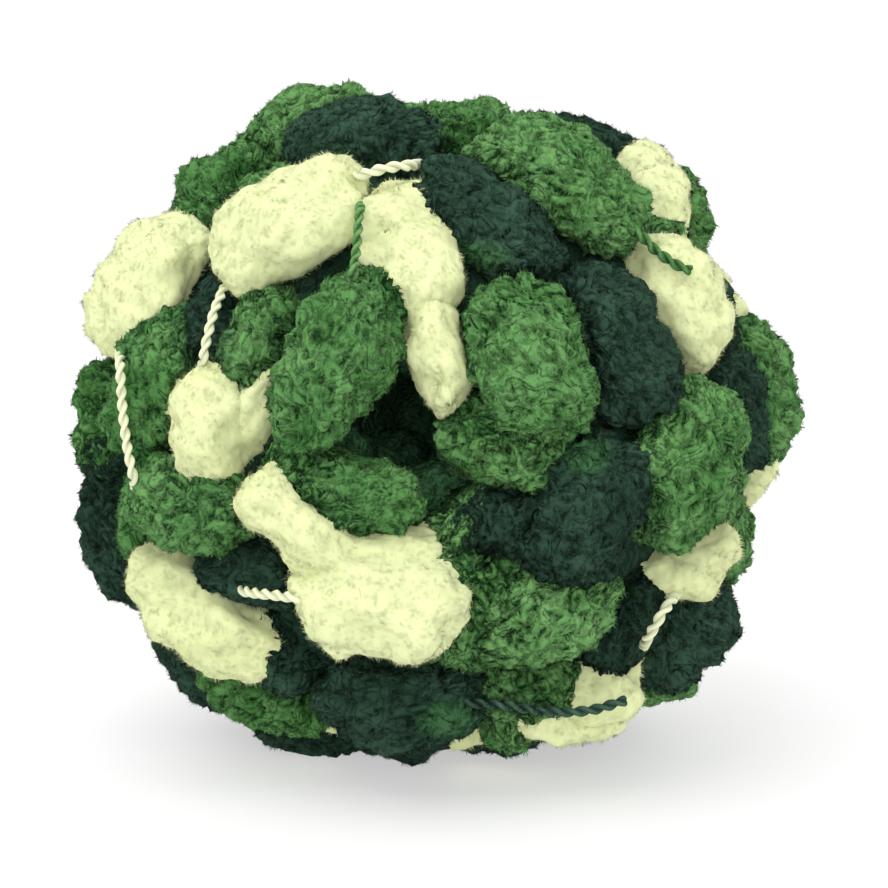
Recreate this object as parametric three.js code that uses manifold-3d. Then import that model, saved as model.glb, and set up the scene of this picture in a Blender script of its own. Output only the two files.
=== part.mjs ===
// A ball of pompom yarn: fat tufts of pile, here called puffs, strung along a thin twisted cord and wound
// round an open middle. The ball is one solid. The two cut ends that lie on it are cords.
// Millimetres, +Z up. The origin is on the ground under the middle of the ball, and its hollow opens to -Y.
import * as THREE from "three";
import { mergeVertices } from "three/addons/utils/BufferGeometryUtils.js";
import Module from "manifold-3d";

// Sizes over the puffs. right and back put its box over the origin.
const BALL = { width: 181, depth: 173, height: 168, right: -0.3, back: 1.6 };
// sides and rings set how round a puff's facets are. fullness is 1 for an egg, and less is blunter.
const PUFF = { length: 38, width: 25, thickness: 24, fullness: 0.8, sides: 7, rings: 4 };
const CORD = { diameter: 2.4, sides: 8, stepDiameters: 2.5, clearance: 0.4 };
// The view in which the front is placed: how far the eye is, and how high it looks from.
const VIEW = { distance: 620, elevation: 7 };
// How square the wound form is above and below its middle: 2 is an ellipse, and the lower half is slack.
const SQUARE = { above: 2, below: 2.3 };
// How much deeper the form would hang without the ground, how far the ball's weight brings its middle down
// and how flat the puffs on the ground are pressed.
const SAG = 7;
const SETTLED = 2;
const PRESSED = 3.5;

const CENTRE = new THREE.Vector3(BALL.right, BALL.back, BALL.height / 2 - SETTLED);
const LAYER = {
  side: (BALL.width - PUFF.thickness) / 2,
  front: (BALL.depth - PUFF.thickness) / 2,
  top: (BALL.height - PUFF.thickness) / 2,
};

// The puffs that show from the front. right and up are where a puff's middle is seen, from the ball's middle.
// turn is the way that it lies in that view, in degrees. lift is how far it stands out of the layer.
const FRONT_COLUMNS = ["colour", "right", "up", "turn", "length", "width", "lift"];
const FRONT = [
  ["cream", -71.5, 32.5, 60, 38, 31, 6],
  ["cream", -35.5, 48.5, 28, 41, 28, 6],
  ["dark", -18.5, 68, 3, 43, 23, 3],
  ["green", -33, 75.5, 20, 40, 22, 3],
  ["dark", -54.5, 61.5, 40, 36, 22, -2],
  ["green", -51, 54.5, 45, 40, 23, 0],
  ["green", -67, 48.5, 60, 34, 22, -3],
  ["dark", -54, 31, 75, 38, 20, -9],
  ["dark", -50, 22.5, 82, 36, 20, -5],
  ["green", -42, 16, 70, 34, 20, -4],
  ["cream", -9, 46.5, -80, 24, 22, 2],
  ["cream", -5, 36.5, -70, 28, 25, 2],
  ["cream", 0.5, 16.5, -76, 32, 15, -1],
  ["green", -24, 15, 62, 46, 24, 7],
  ["cream", -41.5, 1, 64, 30, 14, -5],
  ["cream", -55, -3, 86, 31, 22, 3],
  ["green", -68, 7, 72, 40, 21, 2],
  ["green", -82, -2, 78, 36, 18, -1],
  ["dark", -82, -31, -70, 42, 20, 1],
  ["dark", -83, -11, 85, 30, 18, -3],
  ["green", -60.5, -21.5, -10, 36, 23, 5],
  ["cream", -59, -48, -42, 44, 25, 5],
  ["cream", -32.5, -26, -48, 36, 20, 4],
  ["cream", -14, -33.5, 0, 32, 18, -1],
  ["cream", -13, -47, -3, 42, 27, 8],
  ["dark", -44.5, -36.5, -25, 36, 18, -2],
  ["dark", -39, -54, -38, 36, 20, -4],
  ["green", -42, -67, -20, 34, 19, 0],
  ["dark", -56.5, -60, -50, 28, 15, -7],
  ["dark", -8.5, -70.5, 0, 43, 25, 2],
  ["green", -24, -18.5, -12, 43, 21, 0],
  ["green", 9, -47, 70, 34, 20, -2],
  ["green", 5.5, -36.5, 10, 30, 16, -3],
  ["green", 5, -28, 60, 28, 16, -7],
  ["green", 5.5, 72, -8, 34, 18, -4],
  ["green", 5, 65, 10, 26, 14, -2],
  ["dark", 11.5, 48.5, -36, 43, 25, 3],
  ["green", 32, 58.5, -35, 45, 27, 7],
  ["cream", 53, 55.5, -56, 42, 20, 2],
  ["green", 59, 58, -58, 40, 20, 0],
  ["dark", 40.5, 69, -18, 36, 18, -1],
  ["cream", 60.5, 30, -60, 36, 21, 2],
  ["cream", 67.5, 28, -68, 28, 14, -7],
  ["dark", 45.5, 18, -64, 42, 26, 3],
  ["green", 24, 14.5, -75, 40, 30, 5],
  ["green", 79, 7, -80, 38, 21, 0],
  ["dark", 72.5, 3, -78, 36, 18, -1],
  ["green", 62.5, -11.5, 62, 42, 32, 6],
  ["dark", 38, -24.5, 62, 38, 28, 5],
  ["green", 17.5, -7, -30, 32, 22, -3],
  ["dark", 17, -25.5, 20, 30, 20, -4],
  ["green", 27.5, -48.5, 18, 38, 25, 3],
  ["dark", 45.5, -50.5, 60, 34, 18, -2],
  ["cream", 61.5, -35.5, 27, 36, 16, -1],
  ["dark", 61.5, -52.5, 68, 38, 26, 2],
  ["cream", 80, -12.5, 78, 28, 14, -6],
  ["green", 23.5, -65.5, 5, 34, 17, -1],
  ["cream", 38.5, -66.5, 22, 26, 15, 3],
  ["cream", 32.5, -71.5, 6, 32, 14, 4],
  ["green", 18, -70.5, 60, 25, 18, -1],
];

// The hollow that the yarn is wound round: where its mouth is seen, and what is cut out of the packed yarn.
const HOLLOW = { right: -9, up: -3, radius: 22, depth: 54 };
// The puffs that line it. round is the way from its axis, in degrees from the right. away and deep are from
// its axis and from its mouth. turn is the slope along the hollow.
const LINING_COLUMNS = ["colour", "round", "away", "deep", "turn"];
const LINING = [
  ["dark", 80, 20, 22, 15],
  ["dark", 150, 21, 20, 70],
  ["dark", 215, 21, 22, -60],
  ["dark", 290, 20, 20, 20],
  ["green", 350, 20, 20, 65],
  ["dark", 30, 18, 42, -30],
  ["dark", 140, 17, 46, 30],
  ["dark", 260, 17, 44, 60],
];
const LINING_PUFF = { length: 32, width: 22 };

// The winding that doesn't show from the front is spread evenly: of many places in a spiral from front to
// back, a puff takes each that is clear of the puffs before it, and the yarn crosses back and forth.
const HIDDEN = { places: 900, cross: 35, clearAlong: 28, clearAcross: 17, lifts: 5, liftStep: 1.7 };
// A hidden puff lies low where it faces the eye's way by more than low, the cosine of the angle between them,
// and isn't under the middle or the back of the ball. None faces that way by more than most.
const FACING = { low: -0.3, under: -0.7, behind: -0.1, most: 0.5, lift: -6 };
const GOLDEN_ANGLE = Math.PI * (3 - Math.sqrt(5));

// Stretches of bare cord between puffs, with a row for each point of them.
const LINK_COLUMNS = ["right", "up", "lift"];
const LINKS = {
  besideLeftPuffs: [[-78, 15, 13], [-77.5, 4, 14], [-76.5, -5.5, 14], [-74.5, -16, 14]],
  underTopLeftPuff: [[-51.5, 34.5, 12], [-54.5, 26.5, 9], [-56.5, 19, 9], [-57.5, 12.5, 12]],
  acrossTop: [[-20, 59.5, 14], [-15, 61, 15], [-10, 62, 14], [-5, 62.5, 11]],
  downTop: [[-18.5, 51.5, 14], [-19, 46, 15], [-19.5, 40, 15], [-20.2, 35, 16]],
  besideLowestPuff: [[-50, -41.5, 10], [-44, -43.5, 12], [-38.5, -44, 13], [-32.5, -45, 17]],
  lowerRight: [[61, -40.5, 10], [58, -45, 12], [55, -50.5, 12], [51.5, -57, 11]],
};

// The routes of the two cut ends, from inside the puff that each comes out of to its tip. right and back are
// from the ball's middle, and up is from the ground.
const END_COLUMNS = ["right", "back", "up"];
const GREEN_END = [
  [33, -47, 138.6],
  [39.5, -50.9, 134.4],
  [45.5, -53.3, 130.3],
  [49.9, -52, 126.1],
  [54.4, -51.4, 123],
  [57.8, -51.6, 121.6],
];
const DARK_END = [
  [-1.5, -63.5, 24.8],
  [7.5, -66.8, 25.6],
  [16.5, -68, 25.3],
  [25.5, -67.7, 23.9],
  [34.5, -67.4, 24],
  [43, -65.2, 25.8],
];

const wasm = await Module();
wasm.setup();

const inDegrees = THREE.MathUtils.degToRad;

// The rows of a table as objects that name their columns.
function rowsOf(columns, rows) {
  return rows.map((row) => Object.fromEntries(columns.map((name, i) => [name, row[i]])));
}

// A closed geometry as a solid that can be joined and cut.
function solidOf(geometry) {
  const plain = geometry.clone();
  plain.deleteAttribute("normal");
  plain.deleteAttribute("uv");
  const merged = mergeVertices(plain, 1e-3);
  const corners = merged.index.array;
  const kept = [];
  for (let i = 0; i < corners.length; i += 3) {
    const [a, b, c] = corners.slice(i, i + 3);
    if (a !== b && b !== c && a !== c) kept.push(a, b, c);
  }
  const vertProperties = merged.attributes.position.array;
  return new wasm.Manifold(new wasm.Mesh({ numProp: 3, vertProperties, triVerts: new Uint32Array(kept) }));
}

function geometryOf(solid) {
  const mesh = solid.getMesh();
  const geometry = new THREE.BufferGeometry();
  geometry.setAttribute("position", new THREE.BufferAttribute(new Float32Array(mesh.vertProperties), 3));
  geometry.setIndex(new THREE.BufferAttribute(new Uint32Array(mesh.triVerts), 1));
  return geometry;
}

// The outer skin alone, so that the pockets that the puffs close off inside are filled.
function outerSkin(geometry) {
  const corners = [...geometry.index.array];
  const skinOf = Array.from({ length: geometry.attributes.position.count }, (_, i) => i);
  const rootOf = (i) => {
    let root = i;
    while (skinOf[root] !== root) root = skinOf[root];
    skinOf[i] = root;
    return root;
  };
  corners.forEach((corner, i) => {
    skinOf[rootOf(corner)] = rootOf(corners[i - (i % 3)]);
  });
  const sizes = new Map();
  corners.forEach((corner) => sizes.set(rootOf(corner), (sizes.get(rootOf(corner)) ?? 0) + 1));
  const outer = [...sizes.keys()].reduce((most, root) => (sizes.get(root) > sizes.get(most) ? root : most));
  const skin = geometry.clone();
  skin.setIndex(corners.filter((corner) => rootOf(corner) === outer));
  skin.deleteAttribute("normal");
  return mergeVertices(skin.toNonIndexed(), 1e-4);
}

// 1 on the layer, and less inside it. point is from the ball's middle.
function layerShare(point, lift) {
  const level = Math.hypot(point.x / (LAYER.side + lift), point.y / (LAYER.front + lift));
  const [reach, square] = point.z < 0 ? [LAYER.top + SAG, SQUARE.below] : [LAYER.top, SQUARE.above];
  return (level ** square + Math.abs(point.z / (reach + lift)) ** square) ** (1 / square);
}

// The way straight out of the layer at a point of it.
function outwards(point, lift) {
  const step = 0.5;
  const here = layerShare(point, lift);
  const slope = ["x", "y", "z"].map((axis) => {
    const moved = point.clone();
    moved[axis] += step;
    return layerShare(moved, lift) - here;
  });
  return new THREE.Vector3(...slope).normalize();
}

const RAISED = new THREE.Matrix4().makeRotationX(-inDegrees(VIEW.elevation));
const SEEN_UP = new THREE.Vector3(0, 0, 1).applyMatrix4(RAISED);
const TO_EYE = new THREE.Vector3(0, -1, 0).applyMatrix4(RAISED);
const EYE = TO_EYE.clone().multiplyScalar(VIEW.distance);

// The point of the layer that is seen at right and up, or the nearest one where the eye looks past the ball.
function seenPoint(right, up, lift) {
  const ray = SEEN_UP.clone().multiplyScalar(up).setX(right).sub(EYE).normalize();
  const at = (distance) => EYE.clone().addScaledVector(ray, distance);
  const shareAt = (distance) => layerShare(at(distance), lift);
  let nearest = VIEW.distance;
  for (let distance = VIEW.distance - BALL.width; distance < VIEW.distance + BALL.width; distance += 1) {
    if (shareAt(distance) < shareAt(nearest)) nearest = distance;
  }
  if (shareAt(nearest) >= 1) return at(nearest).divideScalar(shareAt(nearest));
  let outside = VIEW.distance - BALL.width;
  let inside = nearest;
  while (inside - outside > 1e-6) {
    const middle = (inside + outside) / 2;
    if (shareAt(middle) > 1) outside = middle;
    else inside = middle;
  }
  return at(inside);
}

// A puff's place: where its middle is, the way that its cord runs, and the way out of the ball.
function placed(puff, middle, along) {
  const place = middle.clone().add(CENTRE);
  const lowest = PUFF.thickness / 2 - PRESSED;
  const out = place.z < lowest ? new THREE.Vector3(0, 0, -1) : outwards(middle, puff.lift);
  const run = along.clone().addScaledVector(out, -along.dot(out)).normalize();
  place.z = Math.max(place.z, lowest);
  return { ...puff, place, run, out };
}

function frontPuffs() {
  return rowsOf(FRONT_COLUMNS, FRONT).map((puff) => {
    const turn = inDegrees(puff.turn);
    const middle = seenPoint(puff.right, puff.up, puff.lift);
    const next = seenPoint(puff.right + Math.cos(turn), puff.up + Math.sin(turn), puff.lift);
    return placed(puff, middle, next.sub(middle));
  });
}

function liningPuffs() {
  const inward = new THREE.Vector3(0, 1, 0);
  return rowsOf(LINING_COLUMNS, LINING).map((puff) => {
    const round = inDegrees(puff.round);
    const away = new THREE.Vector3(Math.cos(round), 0, Math.sin(round));
    const place = seenPoint(HOLLOW.right, HOLLOW.up, 0).add(CENTRE);
    place.addScaledVector(inward, puff.deep).addScaledVector(away, puff.away);
    const out = away.clone().negate();
    const run = inward.clone().cross(away).applyAxisAngle(out, inDegrees(puff.turn));
    return { ...puff, ...LINING_PUFF, place, run, out };
  });
}

// Whether a puff's place is taken: near puffs are allowed closer beside it than along it.
function isTaken(puff, others) {
  return others.some((other) => {
    const between = other.place.clone().sub(puff.place);
    const along = between.dot(puff.run);
    const across = Math.sqrt(Math.max(between.lengthSq() - along ** 2, 0));
    return (along / HIDDEN.clearAlong) ** 2 + (across / HIDDEN.clearAcross) ** 2 < 1;
  });
}

function hiddenPuffs(shown) {
  const puffs = [];
  const windingAxis = new THREE.Vector3(0, 1, 0);
  for (let i = 0; i < HIDDEN.places; i += 1) {
    const y = 1 - (2 * (i + 0.5)) / HIDDEN.places;
    const level = Math.sqrt(1 - y * y);
    const round = i * GOLDEN_ANGLE;
    const spiral = new THREE.Vector3(level * Math.cos(round), y, level * Math.sin(round));
    const uneven = (((puffs.length * 3) % HIDDEN.lifts) - (HIDDEN.lifts - 1) / 2) * HIDDEN.liftStep;
    const isUnder = spiral.z < FACING.under && spiral.y > FACING.behind;
    const isLow = spiral.dot(TO_EYE) > FACING.low && !isUnder;
    const lift = isLow ? FACING.lift : uneven;
    const middle = spiral.divideScalar(layerShare(spiral, lift));
    const out = outwards(middle, lift);
    const cross = inDegrees(puffs.length % 2 ? HIDDEN.cross : -HIDDEN.cross);
    const run = windingAxis.clone().cross(out).applyAxisAngle(out, cross);
    const puff = placed({ length: PUFF.length, width: PUFF.width, lift }, middle, run);
    if (out.dot(TO_EYE) < FACING.most && !isTaken(puff, [...shown, ...puffs])) puffs.push(puff);
  }
  return puffs;
}

// One puff: a round-ended bar of pile, bent to the ball and set in its place.
function puffSolid(puff) {
  const profile = [];
  for (let ring = 0; ring <= PUFF.rings; ring += 1) {
    const angle = (ring / PUFF.rings - 0.5) * Math.PI;
    const wide = ring % PUFF.rings ? Math.cos(angle) ** PUFF.fullness : 0;
    profile.push(new THREE.Vector2(wide, Math.sign(angle) * Math.abs(Math.sin(angle)) ** PUFF.fullness));
  }
  const bar = new THREE.LatheGeometry(profile, PUFF.sides);
  bar.scale(puff.width / 2, puff.length / 2, PUFF.thickness / 2);
  const points = bar.attributes.position;
  for (let i = 0; i < points.count; i += 1) {
    points.setZ(i, points.getZ(i) - points.getY(i) ** 2 / (2 * LAYER.side));
  }
  const across = puff.run.clone().cross(puff.out);
  bar.applyMatrix4(new THREE.Matrix4().makeBasis(across, puff.run, puff.out).setPosition(puff.place));
  return solidOf(bar);
}

// The yarn packed inside the layer of puffs that show, with the hollow cut into it from the front.
function packedSolid() {
  const packed = new THREE.IcosahedronGeometry(1, 3);
  const points = packed.attributes.position;
  const point = new THREE.Vector3();
  for (let i = 0; i < points.count; i += 1) {
    point.fromBufferAttribute(points, i);
    point.divideScalar(layerShare(point, 0)).add(CENTRE);
    points.setXYZ(i, point.x, point.y, point.z);
  }
  const mouth = seenPoint(HOLLOW.right, HOLLOW.up, 0).add(CENTRE);
  const hollow = new THREE.CapsuleGeometry(HOLLOW.radius, HOLLOW.depth, 5, 14);
  hollow.translate(mouth.x, mouth.y + HOLLOW.depth / 2 - HOLLOW.radius, mouth.z);
  return solidOf(packed).subtract(solidOf(hollow));
}

// A plain tube along a curve.
function tube(points, diameter) {
  const route = new THREE.CatmullRomCurve3(points);
  const section = new THREE.Shape();
  for (let i = 0; i < CORD.sides; i += 1) {
    const angle = (i / CORD.sides) * 2 * Math.PI;
    const corner = [(Math.cos(angle) * diameter) / 2, (Math.sin(angle) * diameter) / 2];
    if (i) section.lineTo(...corner);
    else section.moveTo(...corner);
  }
  const steps = Math.ceil(route.getLength() / (CORD.stepDiameters * CORD.diameter));
  return new THREE.ExtrudeGeometry(section, { steps, extrudePath: route });
}

function linkSolids() {
  return Object.values(LINKS).map((link) => {
    const rows = rowsOf(LINK_COLUMNS, link);
    const points = rows.map((row) => seenPoint(row.right, row.up, row.lift).add(CENTRE));
    return solidOf(tube(points, CORD.diameter));
  });
}

function routeOf(cutEnd) {
  return rowsOf(END_COLUMNS, cutEnd).map(
    (row) => new THREE.Vector3(row.right + BALL.right, row.back + BALL.back, row.up),
  );
}

// The groove that a cut end lies in, with room all round the cord.
function groove(cutEnd) {
  const route = routeOf(cutEnd);
  const diameter = CORD.diameter + 2 * CORD.clearance;
  let cut = solidOf(tube(route, diameter));
  for (const end of [route[0], route[route.length - 1]]) {
    const room = new THREE.IcosahedronGeometry(diameter / 2 + CORD.clearance, 1);
    cut = cut.add(solidOf(room.translate(end.x, end.y, end.z)));
  }
  return cut;
}

function ballGeometry() {
  const front = frontPuffs();
  const puffs = [...front, ...liningPuffs(), ...hiddenPuffs(front)];
  const below = new THREE.BoxGeometry(2 * BALL.width, 2 * BALL.depth, BALL.height);
  let ball = packedSolid();
  for (const added of [...puffs.map(puffSolid), ...linkSolids()]) ball = ball.add(added);
  ball = ball.subtract(solidOf(below.translate(0, 0, -BALL.height / 2)));
  return outerSkin(geometryOf(ball.subtract(groove(GREEN_END)).subtract(groove(DARK_END))));
}

function yarn(name, geometry, colour) {
  const material = new THREE.MeshStandardMaterial({ color: colour, roughness: 1, metalness: 0 });
  const mesh = new THREE.Mesh(geometry, material);
  mesh.name = name;
  return mesh;
}

const COLOURS = { mixed: 0x6f9e6b, green: 0x4c8f4a, dark: 0x24463c };

const part = new THREE.Group();
part.add(yarn("wound_ball", ballGeometry(), COLOURS.mixed));
part.add(yarn("loose_end_green", tube(routeOf(GREEN_END), CORD.diameter), COLOURS.green));
part.add(yarn("loose_end_dark", tube(routeOf(DARK_END), CORD.diameter), COLOURS.dark));

export default part;
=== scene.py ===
"""A ball of pompom yarn on a pale floor: fat tufts of pile, here called puffs, on a thin twisted cord.

Sizes are millimetres and are turned into metres where meshes are made, but for the cords' routes, which are
in metres. +Z is up, the ball's hollow opens to -Y, and everything is in the frame of the solids.
"""

import math

import bpy
import numpy as np
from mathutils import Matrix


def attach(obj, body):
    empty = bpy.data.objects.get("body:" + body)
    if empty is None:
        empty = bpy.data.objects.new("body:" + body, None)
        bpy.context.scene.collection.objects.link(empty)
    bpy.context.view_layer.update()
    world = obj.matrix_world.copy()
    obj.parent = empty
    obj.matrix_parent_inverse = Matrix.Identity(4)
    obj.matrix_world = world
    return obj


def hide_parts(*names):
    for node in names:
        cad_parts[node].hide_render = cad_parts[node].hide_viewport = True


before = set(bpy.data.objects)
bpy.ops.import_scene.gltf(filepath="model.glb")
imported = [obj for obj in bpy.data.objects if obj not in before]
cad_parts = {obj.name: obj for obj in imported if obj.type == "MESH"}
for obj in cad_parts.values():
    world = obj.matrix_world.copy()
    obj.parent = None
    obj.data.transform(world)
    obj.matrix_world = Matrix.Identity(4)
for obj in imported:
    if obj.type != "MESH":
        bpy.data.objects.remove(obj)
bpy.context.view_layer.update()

MM = 0.001
SEED = 29

# Sizes over the puffs. right and back put the ball's box over the origin.
BALL = {"width": 181, "depth": 173, "height": 168, "right": -0.3, "back": 1.6}
# fullness is 1 for an egg, and less is blunter.
PUFF = {"length": 38, "width": 25, "thickness": 24, "fullness": 0.8}
# The view in which the front is placed: how far the eye is, and how high it looks from.
VIEW = {"distance": 620, "elevation": 7}
# How square the wound form is above and below its middle: 2 is an ellipse, and the lower half is slack.
SQUARE = {"above": 2, "below": 2.3}
# How much deeper the form would hang without the ground, how far the ball's weight brings its middle down
# and how flat the puffs on the ground are pressed.
SAG = 7
SETTLED = 2
PRESSED = 3.5

CENTRE = np.array([BALL["right"], BALL["back"], BALL["height"] / 2 - SETTLED])
LAYER = {
    "side": (BALL["width"] - PUFF["thickness"]) / 2,
    "front": (BALL["depth"] - PUFF["thickness"]) / 2,
    "top": (BALL["height"] - PUFF["thickness"]) / 2,
}

# The puffs that show from the front, as in the solids. right and up are where a puff's middle is seen, from
# the ball's middle. turn is the way that it lies there, in degrees. lift is how far it stands out.
FRONT_COLUMNS = ("colour", "right", "up", "turn", "length", "width", "lift")
FRONT = (
    ("cream", -71.5, 32.5, 60, 38, 31, 6),
    ("cream", -35.5, 48.5, 28, 41, 28, 6),
    ("dark", -18.5, 68, 3, 43, 23, 3),
    ("green", -33, 75.5, 20, 40, 22, 3),
    ("dark", -54.5, 61.5, 40, 36, 22, -2),
    ("green", -51, 54.5, 45, 40, 23, 0),
    ("green", -67, 48.5, 60, 34, 22, -3),
    ("dark", -54, 31, 75, 38, 20, -9),
    ("dark", -50, 22.5, 82, 36, 20, -5),
    ("green", -42, 16, 70, 34, 20, -4),
    ("cream", -9, 46.5, -80, 24, 22, 2),
    ("cream", -5, 36.5, -70, 28, 25, 2),
    ("cream", 0.5, 16.5, -76, 32, 15, -1),
    ("green", -24, 15, 62, 46, 24, 7),
    ("cream", -41.5, 1, 64, 30, 14, -5),
    ("cream", -55, -3, 86, 31, 22, 3),
    ("green", -68, 7, 72, 40, 21, 2),
    ("green", -82, -2, 78, 36, 18, -1),
    ("dark", -82, -31, -70, 42, 20, 1),
    ("dark", -83, -11, 85, 30, 18, -3),
    ("green", -60.5, -21.5, -10, 36, 23, 5),
    ("cream", -59, -48, -42, 44, 25, 5),
    ("cream", -32.5, -26, -48, 36, 20, 4),
    ("cream", -14, -33.5, 0, 32, 18, -1),
    ("cream", -13, -47, -3, 42, 27, 8),
    ("dark", -44.5, -36.5, -25, 36, 18, -2),
    ("dark", -39, -54, -38, 36, 20, -4),
    ("green", -42, -67, -20, 34, 19, 0),
    ("dark", -56.5, -60, -50, 28, 15, -7),
    ("dark", -8.5, -70.5, 0, 43, 25, 2),
    ("green", -24, -18.5, -12, 43, 21, 0),
    ("green", 9, -47, 70, 34, 20, -2),
    ("green", 5.5, -36.5, 10, 30, 16, -3),
    ("green", 5, -28, 60, 28, 16, -7),
    ("green", 5.5, 72, -8, 34, 18, -4),
    ("green", 5, 65, 10, 26, 14, -2),
    ("dark", 11.5, 48.5, -36, 43, 25, 3),
    ("green", 32, 58.5, -35, 45, 27, 7),
    ("cream", 53, 55.5, -56, 42, 20, 2),
    ("green", 59, 58, -58, 40, 20, 0),
    ("dark", 40.5, 69, -18, 36, 18, -1),
    ("cream", 60.5, 30, -60, 36, 21, 2),
    ("cream", 67.5, 28, -68, 28, 14, -7),
    ("dark", 45.5, 18, -64, 42, 26, 3),
    ("green", 24, 14.5, -75, 40, 30, 5),
    ("green", 79, 7, -80, 38, 21, 0),
    ("dark", 72.5, 3, -78, 36, 18, -1),
    ("green", 62.5, -11.5, 62, 42, 32, 6),
    ("dark", 38, -24.5, 62, 38, 28, 5),
    ("green", 17.5, -7, -30, 32, 22, -3),
    ("dark", 17, -25.5, 20, 30, 20, -4),
    ("green", 27.5, -48.5, 18, 38, 25, 3),
    ("dark", 45.5, -50.5, 60, 34, 18, -2),
    ("cream", 61.5, -35.5, 27, 36, 16, -1),
    ("dark", 61.5, -52.5, 68, 38, 26, 2),
    ("cream", 80, -12.5, 78, 28, 14, -6),
    ("green", 23.5, -65.5, 5, 34, 17, -1),
    ("cream", 38.5, -66.5, 22, 26, 15, 3),
    ("cream", 32.5, -71.5, 6, 32, 14, 4),
    ("green", 18, -70.5, 60, 25, 18, -1),
)
# The hollow that the yarn is wound round: where its mouth is seen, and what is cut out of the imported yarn.
HOLLOW = {"right": -9, "up": -3, "radius": 22, "depth": 54}
# The puffs that line it. round is the way from its axis, in degrees from the right. away and deep are from
# its axis and from its mouth. turn is the slope along the hollow.
LINING_COLUMNS = ("colour", "round", "away", "deep", "turn")
LINING = (
    ("dark", 80, 20, 22, 15),
    ("dark", 150, 21, 20, 70),
    ("dark", 215, 21, 22, -60),
    ("dark", 290, 20, 20, 20),
    ("green", 350, 20, 20, 65),
    ("dark", 30, 18, 42, -30),
    ("dark", 140, 17, 46, 30),
    ("dark", 260, 17, 44, 60),
)
LINING_PUFF = {"length": 32, "width": 22}

# The winding that doesn't show from the front is spread evenly: of many places in a spiral, a puff takes each
# that is clear of the puffs before it, and the yarn crosses back and forth.
HIDDEN = {"places": 900, "cross": 35, "clear_along": 28, "clear_across": 17, "lifts": 5, "lift_step": 1.7}
# A hidden puff lies low where it faces the eye's way by more than low, the cosine of the angle between them,
# and isn't under the middle or the back of the ball. None faces that way by more than most.
FACING = {"low": -0.3, "under": -0.7, "behind": -0.1, "most": 0.5, "lift": -6}
# Between them, deeper in the winding, more puffs show wherever there is room. cross is the most that they
# turn either way, in radians. sizes are the least and the most, as shares of a puff's.
DEEPER = {
    "places": 700,
    "clear_along": 21,
    "clear_across": 13,
    "lift": -8.5,
    "most": 0.35,
    "cross": 0.8,
    "sizes": (0.9, 1.05),
}
GOLDEN_ANGLE = math.pi * (3 - math.sqrt(5))
WINDING_AXIS = np.array([0.0, 1, 0])
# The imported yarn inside: how far its surface is from the layer, the steps in which the hollow is let into it,
# and its folds.
PACKED = {"lift": -1.5, "step": 0.5, "steps": 160, "fold": 6.5, "fold_height": 2.2, "fold_level": 0.9}

# Stretches of bare cord between puffs: their colour, thickness and points, each with its right, up and lift.
LINKS = (
    ("cream", 2.3, ((-78, 15, 13), (-77.5, 4, 14), (-76.5, -5.5, 14), (-74.5, -16, 14))),
    ("cream", 2.2, ((-51.5, 33.5, 3), (-54.5, 26.5, 8), (-56.5, 19, 9), (-57.5, 13.5, 8))),
    ("cream", 2.5, ((-20, 59.5, 10), (-15, 61, 14), (-10, 62, 14), (-5, 62.5, 11))),
    ("green", 2.2, ((-18.5, 51.5, 14), (-19, 46, 15), (-19.5, 40, 15), (-20.2, 35, 16))),
    ("cream", 2.4, ((-48.5, -43, 7), (-44, -43.7, 11.3), (-38.5, -44.3, 13), (-33.5, -45, 14))),
    ("cream", 2.5, ((59.5, -44.5, 7), (57, -48, 11), (54.5, -52, 11), (52, -56.5, 7))),
)

# How much deeper a bare cord lies where it goes into a puff.
DIP = 12

# Where pile of a colour goes over to its other dye, as seen from the front: the colour, right, up, and half
# the width and height. Inside the hollow, pile goes over to it by the same share everywhere, as painted light
# on the dark yarn in the hollow's shade; the green pile there goes darker.
OTHER_DYE = (
    ("green", -51, 18, 6, 12),
    ("dark", 74, -38, 5, 4),
    ("dark", 9, 35, 7, 3),
    ("dark", 33, -8, 5, 4),
    ("dark", 3, -68, 6, 4),
)
MOST_DYE = 0.6
# Painted light: the share of the other dye that lifts the dark yarn in the hollow's shade.
HOLLOW_PAINTED_LIGHT = 0.5

# The routes of the two cut ends, in metres: right and back from the ball's middle, and up from the floor.
CORD_DIAMETER = 0.0024
GREEN_END = (
    (0.0330, -0.0470, 0.1386),
    (0.0395, -0.0509, 0.1344),
    (0.0455, -0.0533, 0.1303),
    (0.0499, -0.0520, 0.1261),
    (0.0544, -0.0514, 0.1230),
    (0.0578, -0.0516, 0.1216),
)
DARK_END = (
    (-0.0015, -0.0635, 0.0248),
    (0.0075, -0.0668, 0.0256),
    (0.0165, -0.0680, 0.0253),
    (0.0255, -0.0677, 0.0239),
    (0.0345, -0.0674, 0.0240),
    (0.0430, -0.0652, 0.0258),
)

# How each colour's pile grows. length and thick are its fibres'. clump is how far apart the points are that
# they gather to, and gather is how much. upright is the share that stands up, steep is how far the others
# lean outwards, and dense is how thickly they grow. The skin under them is folded, to lobes so wide and so
# high.
PILE_COLUMNS = ("length", "thick", "clump", "gather", "upright", "steep", "fold", "fold_height", "dense")
PILE_ROWS = {
    "cream": (1.8, 0.26, 1.3, 0.4, 0, 0.44, 4.5, 0.8, 0.8),
    "green": (1.6, 0.34, 1.5, 0.45, 0.03, 0.42, 4.2, 2.5, 1),
    "dark": (1.6, 0.34, 1.5, 0.45, 0.03, 0.42, 4.0, 2.1, 1),
}
PILE = {colour: dict(zip(PILE_COLUMNS, row)) for colour, row in PILE_ROWS.items()}
# How far a leaning fibre goes along the skin, as a share of its length, how unevenly the tips lie, and how far
# the pile stays off a bare cord.
LEAN = 0.8
UNEVEN = 0.14
CORD_ROOM = 1.5
# The skin lies this far inside the solids' surface, with its knobs and fibres reaching out of it.
SKIN_DEPTH = 1.5
# How high the skin's folds are where it keeps its place, as a share of a lobe.
FOLD_LEVEL = 0.8
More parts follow.
